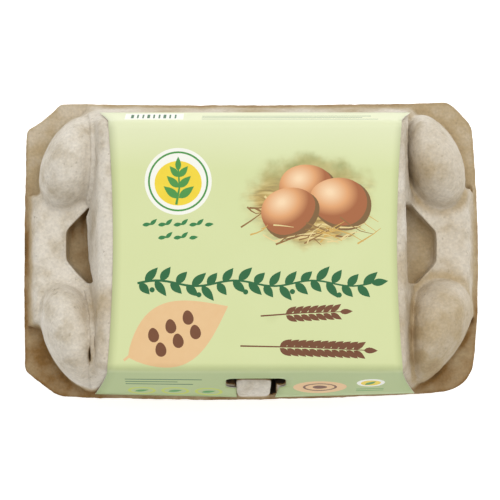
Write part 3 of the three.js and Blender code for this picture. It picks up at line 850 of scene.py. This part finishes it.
# Round badge, top left: a white ring round a yellow field with a green sprig, over two rows of leaves
BADGE_X, BADGE_V = -23.5, 20.5
LEAF_PITCH = 2.5
for ink, radius in (("ink_white", 10.8), ("ink_leaf_green", 9.7), ("ink_white", 9.1)):
    oval(ink, (BADGE_X, BADGE_V), (radius, radius), steps=48)
oval("ink_yellow", (BADGE_X, BADGE_V - 0.6), (7.6, 7.2), steps=40)
stroke("ink_leaf_green", turned([(-0.6, -7.5), (0.4, -2), (0, 5.5)], (BADGE_X, BADGE_V), 0), 0.8, 0.4)
for i in range(3):
    for way in (-1, 1):
        foot = (BADGE_X + 0.2, BADGE_V - 5.4 + i * 3.4)
        leaf("ink_leaf_green", foot, 6.2 - i * 0.8, 2.6 - i * 0.25, 90 - way * (52 - i * 6))
leaf("ink_leaf_green", (BADGE_X, BADGE_V + 3.4), 4.6, 1.9, 90)
for width, v in ((23.0, 6.4), (13.0, 2.2)):
    for i in range(round(width / LEAF_PITCH)):
        foot = (BADGE_X - width / 2 + LEAF_PITCH * i, v)
        leaf("ink_mid_green", foot, 3.0, 1.3, 42 if i % 2 else 8, 5)

# Garland of dark green leaves across the middle
GARLAND = {"left": -36.5, "right": 38.5, "v": -12.3, "wave": 0.9, "period": 25.0, "pairs": 15}


def garland_at(x):
    phase = 2 * math.pi * (x - GARLAND["left"]) / GARLAND["period"]
    return GARLAND["v"] + GARLAND["wave"] * math.sin(phase)


stem = [(x, garland_at(x)) for x in np.linspace(GARLAND["left"], GARLAND["right"], 40)]
stroke("ink_dark_green", stem, 0.75, 0.5)
for i in range(GARLAND["pairs"]):
    x = GARLAND["left"] + 1.5 + (GARLAND["right"] - GARLAND["left"] - 5) * i / (GARLAND["pairs"] - 1)
    for way in (-1, 1):
        size = 5.6 + 0.7 * math.sin(i * 2.3 + way)
        foot = (x + 0.9 * way, garland_at(x + 0.9 * way))
        leaf("ink_dark_green", foot, size, 2.7, way * (48 + 6 * math.sin(i * 1.7)))
    if i % 3 == 1:
        oval("ink_dark_green", (x - 1.8, garland_at(x) - 3.0), (0.85, 0.85), steps=14)
leaf("ink_dark_green", stem[-1], 5.5, 2.4, 8)

# Peach leaf with six small eggs on it, lower left, and two ears of wheat, lower right
PEACH_FOOT, PEACH_TURN = (-39.5, -36.0), 27
leaf("ink_peach", PEACH_FOOT, 36.0, 20.5, PEACH_TURN, 20, 0.86)
stroke("ink_peach", [(-40.8, -37.0), (-38.0, -34.8), (-36.0, -33.5)], 0.8, 1.0)
for column in range(3):
    for row in range(2):
        middle = turned([(10.5 + column * 6.2, -2.6 + row * 5.2)], PEACH_FOOT, PEACH_TURN)[0]
        oval("ink_brown", middle, (2.35, 1.75), 100, 18, 0.14)
wheat_ear("ink_brown", (3.0, -22.8), 27.0, 3, 4.2, 7)
wheat_ear("ink_brown", (-3.5, -32.4), 42.0, -2, 4.6, 11)

# Front flap: three roundels under fine rules on the left, a peach field and a small badge on the right
FLAP_FIELD = (22.5, -58.5)
FIELD_RINGS = (("ink_peach", 8.8, 6.2, 34), ("ink_brown", 5.6, 3.9, 30), ("ink_peach", 4.8, 3.1, 28))
for i in range(3):
    x, v = -36.0 + 11.0 * i, -63.2
    oval("ink_lime", (x, v), (4.6, 3.9), steps=26)
    oval("label_ground", (x, v), (3.7, 3.0), steps=22)
    leaf("ink_leaf_green", (x - 2.4, v - 1.0), 5.2, 2.3, 22, 6)
for i, end in enumerate((-16, -24, -19)):
    stroke("ink_dark_green", [(-41, -50.5 - 2.6 * i), (end, -50.5 - 2.6 * i)], 0.75)
for ink, half_x, half_v, steps in FIELD_RINGS:
    oval(ink, FLAP_FIELD, (half_x, half_v), steps=steps)
oval("ink_brown", FLAP_FIELD, (2.4, 1.7), steps=20, egg=0.14)
oval("ink_white", (39.0, -54.5), (4.6, 4.3), steps=28)
oval("ink_yellow", (39.0, -54.8), (3.3, 3.0), steps=24)
leaf("ink_leaf_green", (37.2, -57.0), 5.4, 2.2, 50, 6)
for i in range(2):
    stroke("ink_leaf_green", [(34.5, -61.5 - 1.9 * i), (43.5, -61.5 - 1.9 * i)], 0.6)

# Back flap: fine rules, and a white panel with stripes
for i, end in enumerate((41, 36, 39)):
    stroke("ink_dark_green", [(-16, 43.0 + 2.6 * i), (end, 43.0 + 2.6 * i)], 0.5)
stamp("ink_white", [(-41, 42.5), (-22, 42.5), (-22, 52.5), (-41, 52.5)])
for i in range(9):
    x = -38.6 + 1.75 * i
    stroke("ink_dark_green", [(x, 44.5), (x, 50.5)], 0.55 if i % 3 else 0.9)


# Each ink lies on coated paper: a soft sheen, a faint tooth, and a print that is never quite even
def finish_ink(material, colour):
    tree = material.node_tree
    where = add_node(tree, "ShaderNodeTexCoord").outputs["Object"]
    tooth = add_node(tree, "ShaderNodeTexNoise", {"Vector": where, "Scale": 1 / (0.35 * MM), "Detail": 3.0})
    bump = add_node(tree, "ShaderNodeBump", {"Height": tooth, "Strength": 0.12, "Distance": 0.05 * MM})
    shader = add_node(tree, "ShaderNodeBsdfPrincipled",
                      {"Base Color": colour, "Roughness": 0.5, "IOR": 1.48, "Specular IOR Level": 0.35,
                       "Normal": bump})
    add_node(tree, "ShaderNodeOutputMaterial", {"Surface": shader})
    return material


# One ink, mottled between two close shades
def plain_ink(name, light_hex, dark_hex):
    material = empty_material(name)
    tree = material.node_tree
    where = add_node(tree, "ShaderNodeTexCoord").outputs["Object"]
    mottle = add_node(tree, "ShaderNodeTexNoise", {"Vector": where, "Scale": 1 / (2.5 * MM), "Detail": 4.0})
    mix = add_node(tree, "ShaderNodeMix",
                   {0: mottle, 6: linear(dark_hex), 7: linear(light_hex)}, data_type="RGBA")
    return finish_ink(material, mix.outputs[2])


# Inks that shade a printed egg from its lit side to its dark one
def egg_ink(name, lit, middle, dark):
    material = empty_material(name)
    tree = material.node_tree
    motif = add_node(tree, "ShaderNodeUVMap", uv_map="motif")
    shifted = add_node(tree, "ShaderNodeVectorMath", {0: motif, 1: (0.28, -0.36, 0)}, operation="ADD")
    reach = add_node(tree, "ShaderNodeVectorMath", {0: shifted}, operation="LENGTH")
    ramp = add_node(tree, "ShaderNodeValToRGB", {"Fac": reach.outputs["Value"]})
    set_stops(ramp, (0.08, lit), (1.0, dark), (0.62, middle))
    return finish_ink(material, ramp)


# The label's ground: light green, paler over the back fold, deeper on the front flap as painted shade, and
# behind the eggs a meadow that fades into it. Its patterns are sized per millimetre of the sheet.
def ground_ink(name):
    material = empty_material(name)
    tree = material.node_tree
    at_print = add_node(tree, "ShaderNodeUVMap", uv_map="print_mm").outputs[0]
    middle, half = PICTURE["middle"], PICTURE["half"]
    centred = add_node(tree, "ShaderNodeVectorMath",
                       {0: at_print, 1: (middle[0], middle[1], 0)}, operation="SUBTRACT")
    scaled = add_node(tree, "ShaderNodeVectorMath",
                      {0: centred, 1: (1 / half[0], 1 / half[1], 0)}, operation="MULTIPLY")
    reach = add_node(tree, "ShaderNodeVectorMath", {0: scaled}, operation="LENGTH")
    ragged = add_node(tree, "ShaderNodeTexNoise", {"Vector": at_print, "Scale": 0.14, "Detail": 3.0})
    edge = add_node(tree, "ShaderNodeMath",
                    {0: ragged, 1: 0.5, 2: reach.outputs["Value"]}, operation="MULTIPLY_ADD")
    picture_mask = add_node(tree, "ShaderNodeMapRange",
                            {"Value": edge, "From Min": 0.85, "From Max": 1.25, "To Min": 1.0, "To Max": 0.0},
                            interpolation_type="SMOOTHERSTEP")
    streak_place = add_node(tree, "ShaderNodeMapping", {"Vector": at_print, "Scale": (0.10, 0.5, 1.0)})
    streak = add_node(tree, "ShaderNodeTexNoise",
                      {"Vector": streak_place, "Scale": 1.4, "Detail": 5.0, "Distortion": 0.6})
    warm = add_node(tree, "ShaderNodeValToRGB", {"Fac": streak})
    set_stops(warm, (0.3, "#8a6a3c"), (0.72, "#e6cf8e"), (0.5, "#c2a660"))
    split = add_node(tree, "ShaderNodeSeparateXYZ", {0: scaled})
    far = add_node(tree, "ShaderNodeMapRange",
                   {"Value": split.outputs[1], "From Min": 0.05, "From Max": 0.55})
    meadow_noise = add_node(tree, "ShaderNodeTexNoise", {"Vector": at_print, "Scale": 0.22, "Detail": 3.0})
    meadow = add_node(tree, "ShaderNodeMix",
                      {0: meadow_noise, 6: linear("#7d8a4a"), 7: linear("#d9c98a")}, data_type="RGBA")
    picture = add_node(tree, "ShaderNodeMix", {0: far, 6: warm, 7: meadow.outputs[2]}, data_type="RGBA")
    tint = add_node(tree, "ShaderNodeTexNoise", {"Vector": at_print, "Scale": 0.05, "Detail": 2.0})
    green = add_node(tree, "ShaderNodeMix",
                     {0: tint, 6: linear("#d6dfa4"), 7: linear("#dbe3ac")}, data_type="RGBA")
    v = add_node(tree, "ShaderNodeSeparateXYZ", {0: at_print}).outputs[1]
    pale = add_node(tree, "ShaderNodeMapRange",
                    {"Value": v, "From Min": 24.0, "From Max": 42.0, "To Max": 0.75})
    green = add_node(tree, "ShaderNodeMix",
                     {0: pale, 6: green.outputs[2], 7: linear("#ecf0d0")}, data_type="RGBA")
    painted_flap_shade = add_node(tree, "ShaderNodeMapRange",
                    {"Value": v, "From Min": -44.0, "From Max": -38.0, "To Min": 0.85, "To Max": 0.0})
    green = add_node(tree, "ShaderNodeMix",
                     {0: painted_flap_shade, 6: green.outputs[2], 7: linear("#a9bd80")}, data_type="RGBA")
    whole = add_node(tree, "ShaderNodeMix",
                     {0: picture_mask, 6: green.outputs[2], 7: picture.outputs[2]}, data_type="RGBA")
    return finish_ink(material, whole.outputs[2])


PLAIN_INKS = {
    "paper_edge": ("uncoated_paper_back", "#f4f2ea", "#eceadf"),
    "ink_white": ("white_ink", "#fbfbf4", "#f4f5ea"),
    "ink_yellow": ("yellow_ink", "#f7df3c", "#f0d030"),
    "ink_lime": ("lime_ink", "#c6d452", "#bccb48"),
    "ink_leaf_green": ("leaf_green_ink", "#4c9c46", "#43903f"),
    "ink_mid_green": ("mid_green_ink", "#2f8448", "#297a41"),
    "ink_dark_green": ("dark_green_ink", "#1f6b3a", "#1a6134"),
    "ink_brown": ("brown_ink", "#7a4a2a", "#6e4124"),
    "ink_peach": ("peach_ink", "#edc896", "#e8bf8b"),
    "straw_gold": ("gold_straw_ink", "#dcb765", "#c89f4e"),
    "straw_brown": ("brown_straw_ink", "#9c7440", "#86602f"),
    "straw_pale": ("pale_straw_ink", "#efdda4", "#e2cb88"),
}
inks = {"label_ground": ground_ink("tinted_label_paper")}
inks.update({ink: plain_ink(*shades) for ink, shades in PLAIN_INKS.items()})
inks["egg_shade"] = egg_ink("shade_ink", "#6b4526", "#74502c", "#7f5f35")
inks["egg_shell"] = egg_ink("egg_shell_ink", "#fbdcb4", "#e3a56f", "#a9653a")
ink_order = list(inks)


def label_sheet():
    outline = sheet_outline()
    points, faces = list(outline), [list(range(len(outline)))]
    kinds = [("label_ground", None, (0, 0), (1, 1), 0.0)]
    for motif in prints:
        start = len(points)
        points += motif[1]
        faces.append(list(range(start, len(points))))
        kinds.append(motif)
    edges = []
    for v in sheet_levels()[1:-1]:
        half = half_width(v)
        row = [(LABEL["shift_x"] + half * (-1 + 2 * i / ACROSS_STEPS), v) for i in range(1, ACROSS_STEPS)]
        start = len(points)
        points += row
        if abs(v) >= flat_half - 0.01:
            edges += [(start + i, start + i + 1) for i in range(len(row) - 1)]
    found = delaunay_2d_cdt([Vector(p) for p in points], edges, faces, 0, 1e-5, True)
    flat_points, flat_faces, face_sources = found[0], found[2], found[5]
    triangles = [(f, max(source)) for f, source in zip(flat_faces, face_sources) if 0 in source]
    used = sorted({i for f, _ in triangles for i in f})
    index = {old: new for new, old in enumerate(used)}
    count = len(used)
    places = [place_on_label(*flat_points[i], 0) for i in used]
    places += [place_on_label(*flat_points[i], LABEL["thick"]) for i in used]
    outer = [[index[i] for i in f] for f, _ in triangles]
    inner = [[i + count for i in reversed(f)] for f in outer]
    ways = {(f[k], f[(k + 1) % 3]) for f in outer for k in range(3)}
    rim = [[b, a, a + count, b + count] for a, b in ways if (b, a) not in ways]
    mesh = bpy.data.meshes.new("paper_label")
    mesh.from_pydata(places, [], outer + inner + rim)
    for ink in ink_order:
        mesh.materials.append(inks[ink])
    print_mm, motif_uv = mesh.uv_layers.new(name="print_mm"), mesh.uv_layers.new(name="motif")
    paper = ink_order.index("paper_edge")
    for polygon in mesh.polygons:
        polygon.use_smooth = polygon.index < 2 * len(outer)
        if polygon.index >= len(outer):
            polygon.material_index = paper
            continue
        ink, _, middle, size, turn = kinds[triangles[polygon.index][1]]
        polygon.material_index = ink_order.index(ink)
        for loop in polygon.loop_indices:
            x, v = flat_points[used[mesh.loops[loop].vertex_index]]
            print_mm.data[loop].uv = (x, v)
            local = turned([(x - middle[0], v - middle[1])], (0, 0), -turn)[0]
            across = turned([(local[0] / size[0], local[1] / size[1])], (0, 0), turn)[0]
            motif_uv.data[loop].uv = across
    return mesh


label = placed("paper_label", label_sheet())
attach(label, "root")
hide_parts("label")
